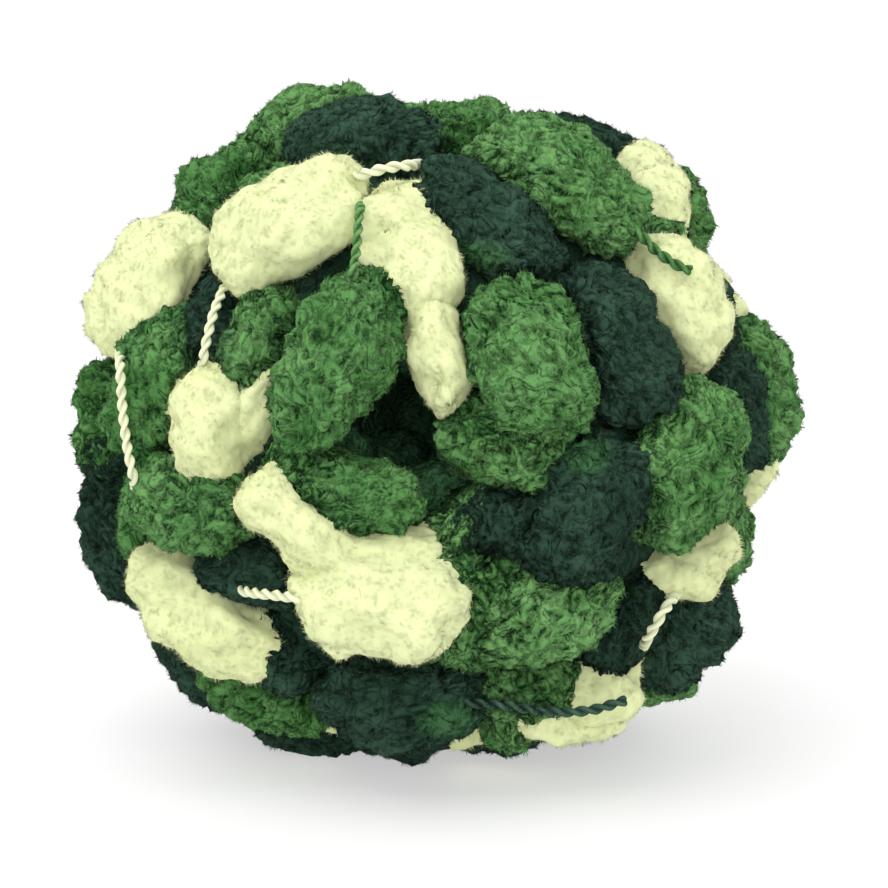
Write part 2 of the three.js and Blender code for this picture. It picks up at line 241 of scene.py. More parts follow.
# Pile is in a crease, where painted shade darkens it, from this far inside another puff to this far
# outside it.
CREASE = {"inside": 2, "outside": 4.5}
# Puffs whose middles are further apart than this don't touch.
REACH = 46
# The points round and along a puff's skin, and its fibres on a square millimetre: in front, on the hidden
# puffs and on the deeper ones.
FINE = {"around": 76, "along": 48, "fibres": 2.6}
COARSE = {"around": 60, "along": 36, "fibres": 2.0}
SPARSE = {"around": 44, "along": 28, "fibres": 1.2}
# No mesh has more triangles than this.
MOST_TRIANGLES = 180000


# What a mesh carries at its points beside the way out: how far they are out of the creases, which sets the
# painted shade there, which of the two tip colours they have, and how far they go over to the other dye, which
# in the hollow is painted light.
VALUES = ("reach", "tuft", "dye_and_hollow_light")


def unit(vectors):
    """Vectors of length 1. One that has no length comes out as up."""
    long = np.linalg.norm(vectors, axis=-1, keepdims=True)
    return np.where(long > 1e-9, vectors / np.maximum(long, 1e-9), [0.0, 0, 1])


def turned(vector, axis, angle):
    """vector turned about a unit axis."""
    along = axis * axis.dot(vector) * (1 - math.cos(angle))
    return vector * math.cos(angle) + np.cross(axis, vector) * math.sin(angle) + along


# The view that the front is placed in.
TILT = math.radians(VIEW["elevation"])
SEEN_UP = np.array([0, math.sin(TILT), math.cos(TILT)])
TO_EYE = np.array([0, -math.cos(TILT), math.sin(TILT)])
EYE = TO_EYE * VIEW["distance"]


def layer_share(point, lift):
    """1 on the layer that the puffs' middles lie on, less inside it. Points are from the ball's middle."""
    point = np.asarray(point, float)
    level = np.hypot(point[..., 0] / (LAYER["side"] + lift), point[..., 1] / (LAYER["front"] + lift))
    below = point[..., 2] < 0
    reach = np.where(below, LAYER["top"] + SAG, LAYER["top"]) + lift
    square = np.where(below, SQUARE["below"], SQUARE["above"])
    return (level**square + np.abs(point[..., 2] / reach) ** square) ** (1 / square)


def outwards(point, lift):
    """The way straight out of the layer at a point of it."""
    step = 0.5
    here = layer_share(point, lift)
    return unit(np.array([layer_share(point + step * axis, lift) - here for axis in np.eye(3)]))


def seen_point(right, up, lift):
    """The point of the layer that is seen at right and up, or the nearest where the eye looks past it."""
    ray = unit(SEEN_UP * up + np.array([right, 0, 0]) - EYE)
    distances = np.arange(VIEW["distance"] - BALL["width"], VIEW["distance"] + BALL["width"], 1.0)
    shares = layer_share(EYE + ray * distances[:, None], lift)
    nearest = distances[int(np.argmin(shares))]
    if shares.min() >= 1:
        return (EYE + ray * nearest) / shares.min()
    outside, inside = VIEW["distance"] - BALL["width"], nearest
    while inside - outside > 1e-6:
        middle = (inside + outside) / 2
        if layer_share(EYE + ray * middle, lift) > 1:
            outside = middle
        else:
            inside = middle
    return EYE + ray * inside


def placed(puff, middle, along):
    """The puff with its place, the way that its cord runs, and the way out of the ball."""
    place = middle + CENTRE
    lowest = PUFF["thickness"] / 2 - PRESSED
    out = np.array([0.0, 0, -1]) if place[2] < lowest else outwards(middle, puff["lift"])
    run = unit(along - out * along.dot(out))
    place[2] = max(place[2], lowest)
    return {**puff, "place": place, "run": run, "out": out}


def front_puffs():
    """The puffs that show from the front, where the photo has them."""
    puffs = []
    for row in FRONT:
        puff = dict(zip(FRONT_COLUMNS, row))
        turn = math.radians(puff["turn"])
        middle = seen_point(puff["right"], puff["up"], puff["lift"])
        beside = seen_point(puff["right"] + math.cos(turn), puff["up"] + math.sin(turn), puff["lift"])
        puffs.append(placed(puff, middle, beside - middle))
    return puffs


def lining_puffs():
    """The puffs round the inside of the hollow."""
    inward = WINDING_AXIS
    mouth = seen_point(HOLLOW["right"], HOLLOW["up"], 0) + CENTRE
    puffs = []
    for row in LINING:
        puff = dict(zip(LINING_COLUMNS, row))
        angle = math.radians(puff["round"])
        away = np.array([math.cos(angle), 0, math.sin(angle)])
        place = mouth + inward * puff["deep"] + away * puff["away"]
        run = turned(np.cross(inward, away), -away, math.radians(puff["turn"]))
        puffs.append({**puff, **LINING_PUFF, "place": place, "run": run, "out": -away})
    return puffs


def is_taken(puff, others, room):
    """Whether a puff's place is taken: near puffs are allowed closer beside it than along it."""
    between = np.array([other["place"] for other in others]) - puff["place"]
    along = between @ puff["run"]
    across = np.sqrt(np.maximum((between**2).sum(1) - along**2, 0))
    return bool(np.any((along / room["clear_along"]) ** 2 + (across / room["clear_across"]) ** 2 < 1))


def spiral_place(i, places):
    """One of many places spread evenly over a ball of radius 1, in a spiral from its back to its front."""
    y = 1 - 2 * (i + 0.5) / places
    level = math.sqrt(1 - y * y)
    return np.array([level * math.cos(i * GOLDEN_ANGLE), y, level * math.sin(i * GOLDEN_ANGLE)])


def hidden_puffs(shown, rng):
    """The puffs of the solids that don't show from the front."""
    puffs = []
    for i in range(HIDDEN["places"]):
        spiral = spiral_place(i, HIDDEN["places"])
        uneven = (len(puffs) * 3 % HIDDEN["lifts"] - (HIDDEN["lifts"] - 1) / 2) * HIDDEN["lift_step"]
        is_under = spiral[2] < FACING["under"] and spiral[1] > FACING["behind"]
        is_low = spiral.dot(TO_EYE) > FACING["low"] and not is_under
        lift = FACING["lift"] if is_low else uneven
        middle = spiral / layer_share(spiral, lift)
        out = outwards(middle, lift)
        cross = math.radians(HIDDEN["cross"] if len(puffs) % 2 else -HIDDEN["cross"])
        run = turned(np.cross(WINDING_AXIS, out), out, cross)
        puff = placed({"length": PUFF["length"], "width": PUFF["width"], "lift": lift}, middle, run)
        if out.dot(TO_EYE) < FACING["most"] and not is_taken(puff, shown + puffs, HIDDEN):
            puffs.append(puff)
    for puff in puffs:
        is_beside = puff["out"].dot(TO_EYE) > FACING["low"]
        colours = ["green", "dark"] if is_beside else ["cream", "green", "green", "dark"]
        puff["colour"] = str(rng.choice(colours))
    return puffs


def deeper_puffs(shown, rng):
    """Puffs low in the gaps between the others, at the sides, the top and the back."""
    puffs = []
    for i in range(DEEPER["places"]):
        spiral = spiral_place(i, DEEPER["places"])
        middle = spiral / layer_share(spiral, DEEPER["lift"])
        out = outwards(middle, DEEPER["lift"])
        run = turned(unit(np.cross(WINDING_AXIS, out)), out, rng.uniform(-DEEPER["cross"], DEEPER["cross"]))
        size = rng.uniform(*DEEPER["sizes"])
        length, width = PUFF["length"] * size, PUFF["width"] * size
        puff = {"length": length, "width": width, "lift": DEEPER["lift"], "deeper": True}
        puff = placed(puff, middle, run)
        if out.dot(TO_EYE) < DEEPER["most"] and not is_taken(puff, shown + puffs, DEEPER):
            puffs.append({**puff, "colour": str(rng.choice(["cream", "green", "dark", "dark"]))})
    return puffs


def local_of(puff, points):
    """Points in the puff's own directions: across it, along it and outwards, with its bend taken out."""
    across = np.cross(puff["run"], puff["out"])
    apart = points - puff["place"]
    x, y, z = apart @ across, apart @ puff["run"], apart @ puff["out"]
    return x, y, z + y**2 / (2 * LAYER["side"])


def depth_in(puff, points, inset=0.0):
    """Less than 1 inside the puff, and 1 on its surface."""
    x, y, z = local_of(puff, points)
    wide = np.hypot(x / (puff["width"] / 2 - inset), z / (PUFF["thickness"] / 2 - inset))
    far = np.abs(y) / (puff["length"] / 2 - inset)
    power = 2 / PUFF["fullness"]
    return (wide**power + far**power) ** (1 / power)


def puff_grid(rings, sides):
    """Faces of four corners over rings of points, with a last and a next to last point at its two ends."""
    ring, side = np.meshgrid(np.arange(rings - 1), np.arange(sides), indexing="ij")
    here, beside = ring * sides + side, ring * sides + (side + 1) % sides
    faces = np.stack([here, here + sides, beside + sides, beside], -1).reshape(-1, 4)
    side = np.arange(sides)
    end = (rings - 1) * sides
    first, last = rings * sides, rings * sides + 1
    near_cap = np.stack([np.full(sides, first), side, (side + 1) % sides, np.full(sides, first)], 1)
    far_cap = np.stack([np.full(sides, last), end + (side + 1) % sides, end + side, np.full(sides, last)], 1)
    return np.vstack([faces, near_cap, far_cap])


def vertex_normals(points, faces):
    """The ways straight out of a surface of faces with four corners."""
    a, b, c, d = (points[faces[:, i]] for i in range(4))
    across = np.cross(c - a, d - b)
    normals = np.zeros_like(points)
    for i in range(4):
        np.add.at(normals, faces[:, i], across)
    return unit(normals)


def puff_skin(puff, lumps, fleece, detail):
    """A puff's surface under its pile: points, the ways out of them, faces, and how far out of a crease each
    point is."""
    sides, rings = detail["around"], detail["along"]
    slopes = np.arange(1, rings + 1) / (rings + 1) * math.pi - math.pi / 2
    turn, slope = np.meshgrid(np.arange(sides) / sides * 2 * math.pi, slopes)
    wide = np.cos(slope) ** PUFF["fullness"]
    far = np.sign(slope) * np.abs(np.sin(slope)) ** PUFF["fullness"]
    shape = np.stack([wide * np.cos(turn), far, wide * np.sin(turn)], -1).reshape(-1, 3)
    shape = np.vstack([shape, [[0, -1, 0], [0, 1, 0]]])
    half = np.array([puff["width"], puff["length"], PUFF["thickness"]]) / 2 - SKIN_DEPTH
    local = shape * half
    local[:, 2] -= local[:, 1] ** 2 / (2 * LAYER["side"])
    basis = np.stack([np.cross(puff["run"], puff["out"]), puff["run"], puff["out"]])
    points = local @ basis + puff["place"]
    faces = puff_grid(rings, sides)
    ways = vertex_normals(points, faces)
    if ((points - puff["place"]) * ways).sum() < 0:
        faces, ways = faces[:, ::-1], -ways
    top, crease = fleece(points)
    height = PILE[puff["colour"]]["fold_height"]
    points = points + ways * (lumps(points) + (top - FOLD_LEVEL) * height)[:, None]
    return points, vertex_normals(points, faces), faces, crease


def fleece_field(rng, size):
    """Soft folds over space, as in a fleece: round lobes with narrow creases between them. Gives how high
    each point is on its lobe, and how far it is out of the creases, both from 0 to about 1."""
    swirl = [lump_field(rng, size * 1.3, size * 0.16) for _ in range(3)]
    lobes, curls = lump_field(rng, size * 1.2, 1), lump_field(rng, size * 0.65, 1)

    def field(points):
        points = points + np.stack([wave(points) for wave in swirl], 1)
        lobe, curl = np.abs(lobes(points)), np.abs(curls(points))
        top = 0.6 * np.sqrt(lobe) + 0.4 * np.sqrt(curl)
        return np.minimum(top, 1.2), np.clip(lobe / 0.4, 0, 1) * np.clip(0.5 + curl / 0.5, 0, 1)

    return field


def lump_field(rng, size, height, waves=14):
    """A smooth uneven height over space: waves of about one length in all directions."""
    ways = unit(rng.normal(size=(waves, 3))) * (2 * math.pi / size)
    ways *= rng.uniform(0.75, 1.3, (waves, 1))
    phases = rng.uniform(0, 2 * math.pi, waves)
    return lambda points: np.sin(points @ ways.T + phases).sum(1) * height / math.sqrt(waves / 2)


def buried(points, puffs, inset):
    """Whether each point is inside one of the puffs."""
    hidden = np.zeros(len(points), bool)
    for puff in puffs:
        hidden |= depth_in(puff, points, inset) < 1
    return hidden


def scattered(points, values, faces, number, rng):
    """Places spread evenly over faces, with the values that their corners carry."""
    corners = np.vstack([faces[:, [0, 1, 2]], faces[:, [0, 2, 3]]])
    a, b, c = (points[corners[:, i]] for i in range(3))
    areas = np.linalg.norm(np.cross(b - a, c - a), axis=1) / 2
    count = int(number * areas.sum())
    if not count:
        return np.zeros((0, 3)), np.zeros((0, values.shape[1]))
    picked = rng.choice(len(corners), count, p=areas / areas.sum())
    share = rng.random((count, 2))
    share = np.where(share.sum(1, keepdims=True) > 1, 1 - share, share)
    shares = np.stack([1 - share.sum(1), share[:, 0], share[:, 1]], 1)[:, :, None]
    return (points[corners[picked]] * shares).sum(1), (values[corners[picked]] * shares).sum(1)


def clear_of(points, lines, room):
    """Whether each point is further than room from every line of points."""
    clear = np.ones(len(points), bool)
    for line in lines:
        low, high = line.min(0) - room, line.max(0) + room
        close = np.nonzero(np.all((points > low) & (points < high), axis=1))[0]
        if len(close):
            gaps = np.linalg.norm(points[close, None] - line[None], axis=2).min(1)
            clear[close[gaps < room]] = False
    return clear


def nearest(points, others):
    """Which of the others is nearest to each point, worked out for some points at a time."""
    some = 2000
    split = np.array_split(points, len(points) // some + 1)
    return np.concatenate([((part[:, None] - others[None]) ** 2).sum(2).argmin(1) for part in split])


def blades(roots, tips, thick, out, reach, dye_and_hollow_light, tuft):
    """Fibres, each a pointed triangle from its root to its tip. reach has its roots' and its tips' values."""
    count = len(roots)
    side = np.cross(unit(tips - roots), out) * (thick / 2)
    return {
        "points": np.stack([roots - side, roots + side, tips], 1).reshape(-1, 3),
        "faces": np.arange(count * 3).reshape(-1, 3),
        "reach": np.stack([reach[0], reach[0], reach[1]], 1).ravel(),
        "tuft": np.repeat(tuft, 3),
        "dye_and_hollow_light": np.repeat(dye_and_hollow_light, 3),
        "out": np.repeat(out, 3, axis=0),
    }


def pile_on(skin, faces, colour, fields, fibres, blocked, shade, rng):
    """The pile that grows on some faces: fibres that curl over together, and gather to many small points."""
    pile = PILE[colour]
    values = np.column_stack([skin["out"], skin["reach"], skin["dye_and_hollow_light"]])
    roots, carried = scattered(skin["points"], values, faces, fibres * pile["dense"], rng)
    starts, start_values = scattered(skin["points"], values, faces, 2.2 / pile["clump"] ** 2, rng)
    if len(roots) < 8 or len(starts) < 2:
        return None
    ways, start_ways = unit(carried[:, :3]), unit(start_values[:, :3])
    own = nearest(roots, starts)
    curl = np.stack([wave(starts) for wave in fields["curl"]], 1)
    curl = unit(curl - start_ways * (curl * start_ways).sum(1, keepdims=True))
    tall = pile["length"] * rng.uniform(0.75, 1.25, (len(starts), 1))
    lying = start_ways * pile["steep"] + curl * LEAN
    upright = rng.random((len(roots), 1)) < pile["upright"]
    growth = np.where(upright, ways, lying[own]) * tall[own] * rng.uniform(0.7, 1.1, (len(roots), 1))
    gather = pile["gather"] * rng.uniform(0.5, 1.2, (len(roots), 1))
    tops = starts + lying * tall
    tips = (roots + growth) * (1 - gather) + tops[own] * gather + rng.normal(size=roots.shape) * UNEVEN
    free = clear_of((roots + tips * 2) / 3, blocked, CORD_ROOM)
    tips[:, 2] = np.maximum(tips[:, 2], 0.05)
    reach = carried[free, 3]
    tuft = np.clip(shade + rng.normal(size=len(starts))[own] * 0.1, 0, 1)
    # Painted shade at the fibres' roots and painted light at their tips.
    ends = (reach * 0.9, np.clip(reach + 0.12, 0, 1))
    roots = (roots - ways * 0.3)[free]
    return blades(roots, tips[free], pile["thick"], ways[free], ends, carried[free, 4], tuft[free])


def joined(parts):
    """Parts with their points and faces in one."""
    offset = 0
    faces = []
    for part in parts:
        faces.append(part["faces"] + offset)
        offset += len(part["points"])
    whole = {name: np.concatenate([part[name] for part in parts]) for name in ("points", *VALUES, "out")}
    return {**whole, "faces": np.concatenate(faces)}


def carry(mesh, values):
    """Gives a mesh the values that its material reads at each of its points, and makes it smooth."""
    for label in VALUES:
        layer = mesh.attributes.new(label, "FLOAT", "POINT")
        layer.data.foreach_set("value", values[label].astype(np.float32))
    out = mesh.attributes.new("out", "FLOAT_VECTOR", "POINT")
    out.data.foreach_set("vector", values["out"].astype(np.float32).ravel())
    mesh.polygons.foreach_set("use_smooth", np.full(len(mesh.polygons), True))


def mesh_piece(name, part, material):
    """A mesh object from points in millimetres."""
    mesh = bpy.data.meshes.new(name)
    faces = part["faces"]
    corners = faces.shape[1]
    mesh.vertices.add(len(part["points"]))
    mesh.vertices.foreach_set("co", (part["points"] * MM).astype(np.float32).ravel())
    mesh.loops.add(faces.size)
    mesh.loops.foreach_set("vertex_index", faces.astype(np.int32).ravel())
    mesh.polygons.add(len(faces))
    mesh.polygons.foreach_set("loop_start", np.arange(0, faces.size, corners, dtype=np.int32))
    mesh.update(calc_edges=True)
    carry(mesh, part)
    mesh.materials.append(material)
    piece = bpy.data.objects.new(name, mesh)
    bpy.context.scene.collection.objects.link(piece)
    return piece


def triangles(faces):
    """Faces of four corners as triangles, without those that have no area."""
    both = np.vstack([faces[:, [0, 1, 2]], faces[:, [0, 2, 3]]])
    return both[(both[:, 0] != both[:, 1]) & (both[:, 1] != both[:, 2]) & (both[:, 0] != both[:, 2])]


# Materials

def node_in(tree, kind, **settings):
    """A new node with its settings made."""
    node = tree.nodes.new(kind)
    for name, value in settings.items():
        setattr(node, name, value)
    return node


def pile_material(name, look):
    """Yarn with painted shade in its creases and curls, curly on top, varying a little from place to place,
    going over to another dye where the mesh says so, and with a painted glow where its look has one."""
    material = bpy.data.materials.new(name)
    material.use_nodes = True
    tree = material.node_tree
    link = tree.links.new
    shader = tree.nodes["Principled BSDF"]
    labels = (*VALUES, "out")
    carried = {label: node_in(tree, "ShaderNodeAttribute", attribute_name=label) for label in labels}
    place = node_in(tree, "ShaderNodeTexCoord")
    patches = noise_in(tree, place, scale=90, detail=2, distortion=0.5)
    fine = noise_in(tree, place, scale=900, detail=2, distortion=1.0)

    def sum_of(first, share, second):
        """first times share, and second added."""
        node = node_in(tree, "ShaderNodeMath", operation="MULTIPLY_ADD")
        link(first, node.inputs[0])
        node.inputs[1].default_value = share
        if isinstance(second, float):
            node.inputs[2].default_value = second
        else:
            link(second, node.inputs[2])
        return node.outputs[0]

    def mixed(first, second, share):
        """The first colour going over to the second."""
        node = node_in(tree, "ShaderNodeMix", data_type="RGBA")
        for name, colour in (("A", first), ("B", second)):
            if isinstance(colour, tuple):
                node.inputs[name].default_value = (*colour, 1)
            else:
                link(colour, node.inputs[name])
        link(share, node.inputs["Factor"])
        return node.outputs["Result"]

    def folds(scale):
        """0 in narrow winding creases and 1 on the lobes between them."""
        wave = noise_in(tree, place, scale=scale, detail=1, distortion=look["warp"])
        apart = node_in(tree, "ShaderNodeMath", operation="ABSOLUTE")
        link(sum_of(wave.outputs["Fac"], 1.0, -0.5), apart.inputs[0])
        lobe = node_in(tree, "ShaderNodeMath", operation="MULTIPLY", use_clamp=True)
        link(apart.outputs[0], lobe.inputs[0])
        lobe.inputs[1].default_value = 5.0
        return lobe.outputs[0]

    lobes = sum_of(folds(look["lobes"]), 0.75, sum_of(folds(look["curls"]), 0.3, -0.25))
    curl = sum_of(fine.outputs["Fac"], 0.5, lobes)
    # Painted shade: the creases and the creases of the curls go over to the root colours.
    high = sum_of(carried["reach"].outputs["Fac"], look["crease_shade_depth"], 1.0 - look["crease_shade_depth"])
    both = sum_of(sum_of(curl, look["curl_shade_depth"], -0.5 * look["curl_shade_depth"]), 1.0, high)
    varied = sum_of(patches.outputs["Fac"], 1.6, -0.8)
    varied = sum_of(carried["tuft"].outputs["Fac"], 1.0, varied)
    tips = mixed(look["tip"], look["other_tip"], varied)
    # In the hollow the other dye stands in for painted light on the dark yarn, and darkens the green.
    dyed = mixed(tips, look["other_dye"], carried["dye_and_hollow_light"].outputs["Fac"])
    root = mixed(look["root"], look["other_root"], carried["dye_and_hollow_light"].outputs["Fac"])
    link(mixed(root, dyed, both), shader.inputs["Base Color"])
    to_world = node_in(tree, "ShaderNodeVectorTransform", vector_type="NORMAL")
    to_world.convert_from = "OBJECT"
    to_world.convert_to = "WORLD"
    link(carried["out"].outputs["Vector"], to_world.inputs["Vector"])
    rise = node_in(tree, "ShaderNodeBump")
    rise.inputs["Strength"].default_value = look["bump"]
    rise.inputs["Distance"].default_value = 0.0006
    link(curl, rise.inputs["Height"])
    link(to_world.outputs["Vector"], rise.inputs["Normal"])
    link(rise.outputs["Normal"], shader.inputs["Normal"])
    shader.inputs["Roughness"].default_value = 0.95
    shader.inputs["Specular IOR Level"].default_value = 0.1
    shader.inputs["Sheen Weight"].default_value = look["sheen"]
    shader.inputs["Sheen Roughness"].default_value = 0.5
    shader.inputs["Sheen Tint"].default_value = (*look["other_tip"], 1)
    # A painted glow in the tip colour, standing in for light passing through the pile.
    shader.inputs["Emission Color"].default_value = (*look["tip"], 1)
    shader.inputs["Emission Strength"].default_value = look.get("painted_glow", 0)
    return material


def noise_in(tree, place, scale, detail, distortion):
    """A noise over the object's own place, with scale in waves for each metre."""
    noise = node_in(tree, "ShaderNodeTexNoise", noise_dimensions="3D")
    noise.inputs["Scale"].default_value = scale
    noise.inputs["Detail"].default_value = detail
    noise.inputs["Distortion"].default_value = distortion
    tree.links.new(place.outputs["Object"], noise.inputs["Vector"])
    return noise


# Each yarn's colours, how many lobes and curls its texture has in a metre, how far they wind, how
# much painted shade darkens them and the creases towards the root colours, and how strongly its pile has a
# painted glow that stands in for light passing through it. The two tip colours vary over the ball.
LOOKS = {
    "cream": {
        "tip": (0.575, 0.62, 0.32), "other_tip": (0.625, 0.67, 0.37), "root": (0.54, 0.575, 0.29),
        "other_dye": (0.30, 0.48, 0.22), "other_root": (0.05, 0.12, 0.04),
        "lobes": 160, "curls": 420, "warp": 1.5, "curl_shade_depth": 0.1, "crease_shade_depth": 0.3,
        "bump": 0.05, "sheen": 0.05,
        "painted_glow": 0.12,
    },
    "green": {
        "tip": (0.053, 0.172, 0.042), "other_tip": (0.155, 0.335, 0.112), "root": (0.003, 0.020, 0.004),
        "other_dye": (0.016, 0.045, 0.028), "other_root": (0.002, 0.008, 0.005),
        "lobes": 170, "curls": 420, "warp": 2.0, "curl_shade_depth": 1.3, "crease_shade_depth": 0.85,
        "bump": 0.8, "sheen": 0.1,
    },
    "dark": {
        "tip": (0.0105, 0.031, 0.018), "other_tip": (0.036, 0.083, 0.052), "root": (0.001, 0.005, 0.003),
        "other_dye": (0.06, 0.18, 0.06), "other_root": (0.005, 0.024, 0.007),
        "lobes": 180, "curls": 440, "warp": 2.0, "curl_shade_depth": 1.3, "crease_shade_depth": 0.75,
        "bump": 0.8, "sheen": 0.1,
    },
}
# The twisted cord is paler than the pile, and smooth, with painted shade where its plies meet.
LOOKS["cord_cream"] = {
    **LOOKS["cream"],
    "tip": (0.62, 0.65, 0.42), "other_tip": (0.70, 0.73, 0.50), "root": (0.28, 0.30, 0.16),
    "crease_shade_depth": 0.6,
}
LOOKS["cord_green"] = {**LOOKS["green"], "curl_shade_depth": 0.3}
LOOKS["cord_dark"] = {**LOOKS["dark"], "other_tip": (0.08, 0.16, 0.11), "curl_shade_depth": 0.3}


def flat_material(name, colour, rough, glow):
    """One even colour, which glow adds light to."""
    material = bpy.data.materials.new(name)
    material.use_nodes = True
    shader = material.node_tree.nodes["Principled BSDF"]
    shader.inputs["Base Color"].default_value = (*colour, 1)
    shader.inputs["Roughness"].default_value = rough
    shader.inputs["Emission Color"].default_value = (*colour, 1)
    shader.inputs["Emission Strength"].default_value = glow
    return material


# The camera, in the photo's place

def add_camera():
    """The camera stands where the front was placed from, and has the ball where the photo has it."""
    photo_side = 888
    middle_seen_at = (434.5, 417)
    photo_width = 220.2
    camera = bpy.data.cameras.new("camera")
    camera.sensor_width = 36
    camera.lens = camera.sensor_width * VIEW["distance"] / photo_width
    camera.shift_x = (photo_side / 2 - middle_seen_at[0]) / photo_side
    camera.shift_y = (middle_seen_at[1] - photo_side / 2) / photo_side
    camera.clip_start = 0.01
    camera.clip_end = 20
    holder = bpy.data.objects.new("camera", camera)
    holder.location = (EYE + CENTRE) * MM
    holder.rotation_euler = (math.pi / 2 - TILT, 0, 0)
    bpy.context.scene.collection.objects.link(holder)
    bpy.context.scene.camera = holder


add_camera()

MATERIALS = {name: pile_material(f"yarn_{name}", look) for name, look in LOOKS.items()}


# Cords

def smooth_line(points, step):
    """A smooth curve through points, as places about a step apart."""
    points = np.asarray(points, float)
    ends = np.vstack([2 * points[0] - points[1], points, 2 * points[-1] - points[-2]])
    dense = []
    for i in range(1, len(ends) - 2):
        before, here, after, beyond = ends[i - 1 : i + 3]
        share = np.linspace(0, 1, 24, endpoint=False)[:, None]
        dense.append(
            here
            + share * (after - before) / 2
            + share**2 * (before - 2.5 * here + 2 * after - beyond / 2)
            + share**3 * ((beyond - before) / 2 + 1.5 * (here - after))
        )
    dense = np.vstack([*dense, points[-1:]])
    along = np.concatenate([[0], np.cumsum(np.linalg.norm(np.diff(dense, axis=0), axis=1))])
    wanted = np.linspace(0, along[-1], max(int(along[-1] / step), 2) + 1)
    return np.stack([np.interp(wanted, along, dense[:, i]) for i in range(3)], 1)


def frames_along(line):
    """The way along a line, and two ways across it that don't spin."""
    along = unit(np.gradient(line, axis=0))
    side = unit(np.cross(along[0], [0.3, 0.2, 1.0]))
    sides = []
    for way in along:
        side = unit(side - way * side.dot(way))
        sides.append(side)
    sides = np.array(sides)
    return along, sides, np.cross(along, sides)


def twisted_cord(line, diameter, tuft, rng):
    """Two plies twisted together, as points and triangles."""
    ring = 8
    pitch = diameter * 2.8
    radius, apart = diameter * 0.29, diameter * 0.235
    cap = radius * 0.5
    along, right, up = frames_along(line)
    travelled = np.concatenate([[0], np.cumsum(np.linalg.norm(np.diff(line, axis=0), axis=1))])
    parts = []
    for ply in range(2):
        angle = 2 * math.pi * travelled / pitch + ply * math.pi
        away = right * np.cos(angle)[:, None] + up * np.sin(angle)[:, None]
        centre = line + away * apart
        turn = np.arange(ring) / ring * 2 * math.pi
        out = np.cos(turn)[None, :, None] * right[:, None] + np.sin(turn)[None, :, None] * up[:, None]
        points = (centre[:, None] + out * radius).reshape(-1, 3)
        step, side = np.meshgrid(np.arange(len(line) - 1), np.arange(ring), indexing="ij")
        here, beside = step * ring + side, step * ring + (side + 1) % ring
        faces = np.stack([here, beside, beside + ring, here + ring], -1).reshape(-1, 4)
        tips = len(points)
        points = np.vstack([points, centre[:1] - along[:1] * cap, centre[-1:] + along[-1:] * cap])
        side = np.arange(ring)
        last = (len(line) - 1) * ring
        first_tip, last_tip = np.full(ring, tips), np.full(ring, tips + 1)
        near = np.stack([first_tip, (side + 1) % ring, side, first_tip], 1)
        far = np.stack([last_tip, last + side, last + (side + 1) % ring, last_tip], 1)
        ways = np.vstack([out.reshape(-1, 3), -along[:1], along[-1:]])
        # Painted shade in the groove between the two plies.
        valley_shade = 0.55 + 0.45 * np.clip((out * away[:, None]).sum(2), -1, 1)
        parts.append({
            "points": points,
            "faces": triangles(np.vstack([faces, near, far])),
            "reach": np.concatenate([valley_shade.ravel(), [0.5, 0.5]]),
            "tuft": np.full(len(points), tuft),
            "dye_and_hollow_light": np.zeros(len(points)),
            "out": ways,
        })
    return joined(parts)


def fuzz_along(line, length, thick, dense, tuft, rng):
    """Short fibres that stand out of a cord all round."""
    along, right, up = frames_along(line)
    count = int(dense * len(line))
    at = rng.integers(0, len(line), count)
    angle = rng.uniform(0, 2 * math.pi, count)[:, None]
    away = right[at] * np.cos(angle) + up[at] * np.sin(angle)
    roots = line[at] + away * 0.5
    tips = roots + away * length * rng.uniform(0.5, 1, (count, 1))
    tips = tips + rng.normal(size=(count, 3)) * length * 0.3
    # Painted shade at the fuzz's roots.
    values = np.full(count, 0.6), np.full(count, 1.0)
    return blades(roots, tips, thick, away, values, np.zeros(count), np.full(count, tuft))


def frayed_end(line, length, tuft, rng):
    """The loose fibres at a cut end."""
    count = 60
    way = unit(line[-1] - line[-3])
    roots = line[-1] - way * 0.6 + rng.normal(size=(count, 3)) * 0.4
    tips = line[-1] + way * length * rng.uniform(0.3, 1, (count, 1))
    tips = tips + rng.normal(size=(count, 3)) * length * 0.35
    # Painted shade at the loose fibres' roots.
    values = np.full(count, 0.5), np.full(count, 0.9)
    return blades(roots, tips, 0.25, unit(tips - roots), values, np.zeros(count), np.full(count, tuft))


def on_the_ball(piece, colour, *nodes):
    """A piece that stands for nodes of the solids, and is one body with the ball."""
    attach(piece, "root")
    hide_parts(*nodes)
    return piece


# The ground under the ball's middle, which the cut ends' routes are from, and the steps along a cord.
MIDDLE = np.array([BALL["right"], BALL["back"], 0.0])
END_STEP = 0.45


def add_loose_end(name, route, colour, bare_from, rng):
    """A cut end of the yarn as a free cord. Its first stretch keeps a little pile, up to bare_from."""
    line = smooth_line(np.array(route) / MM + MIDDLE, END_STEP)
    tuft = 0.6
    cord = mesh_piece(name, twisted_cord(line, CORD_DIAMETER / MM, tuft, rng), MATERIALS[f"cord_{colour}"])
    on_the_ball(cord, colour, name)
    fuzz = [frayed_end(line, 2.6, tuft, rng), fuzz_along(line, 0.5, 0.12, 5, tuft, rng)]
    covered = line[: int(bare_from / END_STEP)]
    if len(covered) > 3:
        fuzz.append(fuzz_along(covered, 1.9, 0.3, 26, 0.35, rng))
    hairs = mesh_piece(f"{name}_fuzz", joined(fuzz), MATERIALS[colour])
    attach(hairs, "root")
    return line


ends_rng = np.random.default_rng(SEED)
end_lines = [
    add_loose_end("loose_end_green", GREEN_END, "green", 0, ends_rng),
    add_loose_end("loose_end_dark", DARK_END, "dark", 28, ends_rng),
]


# The ball

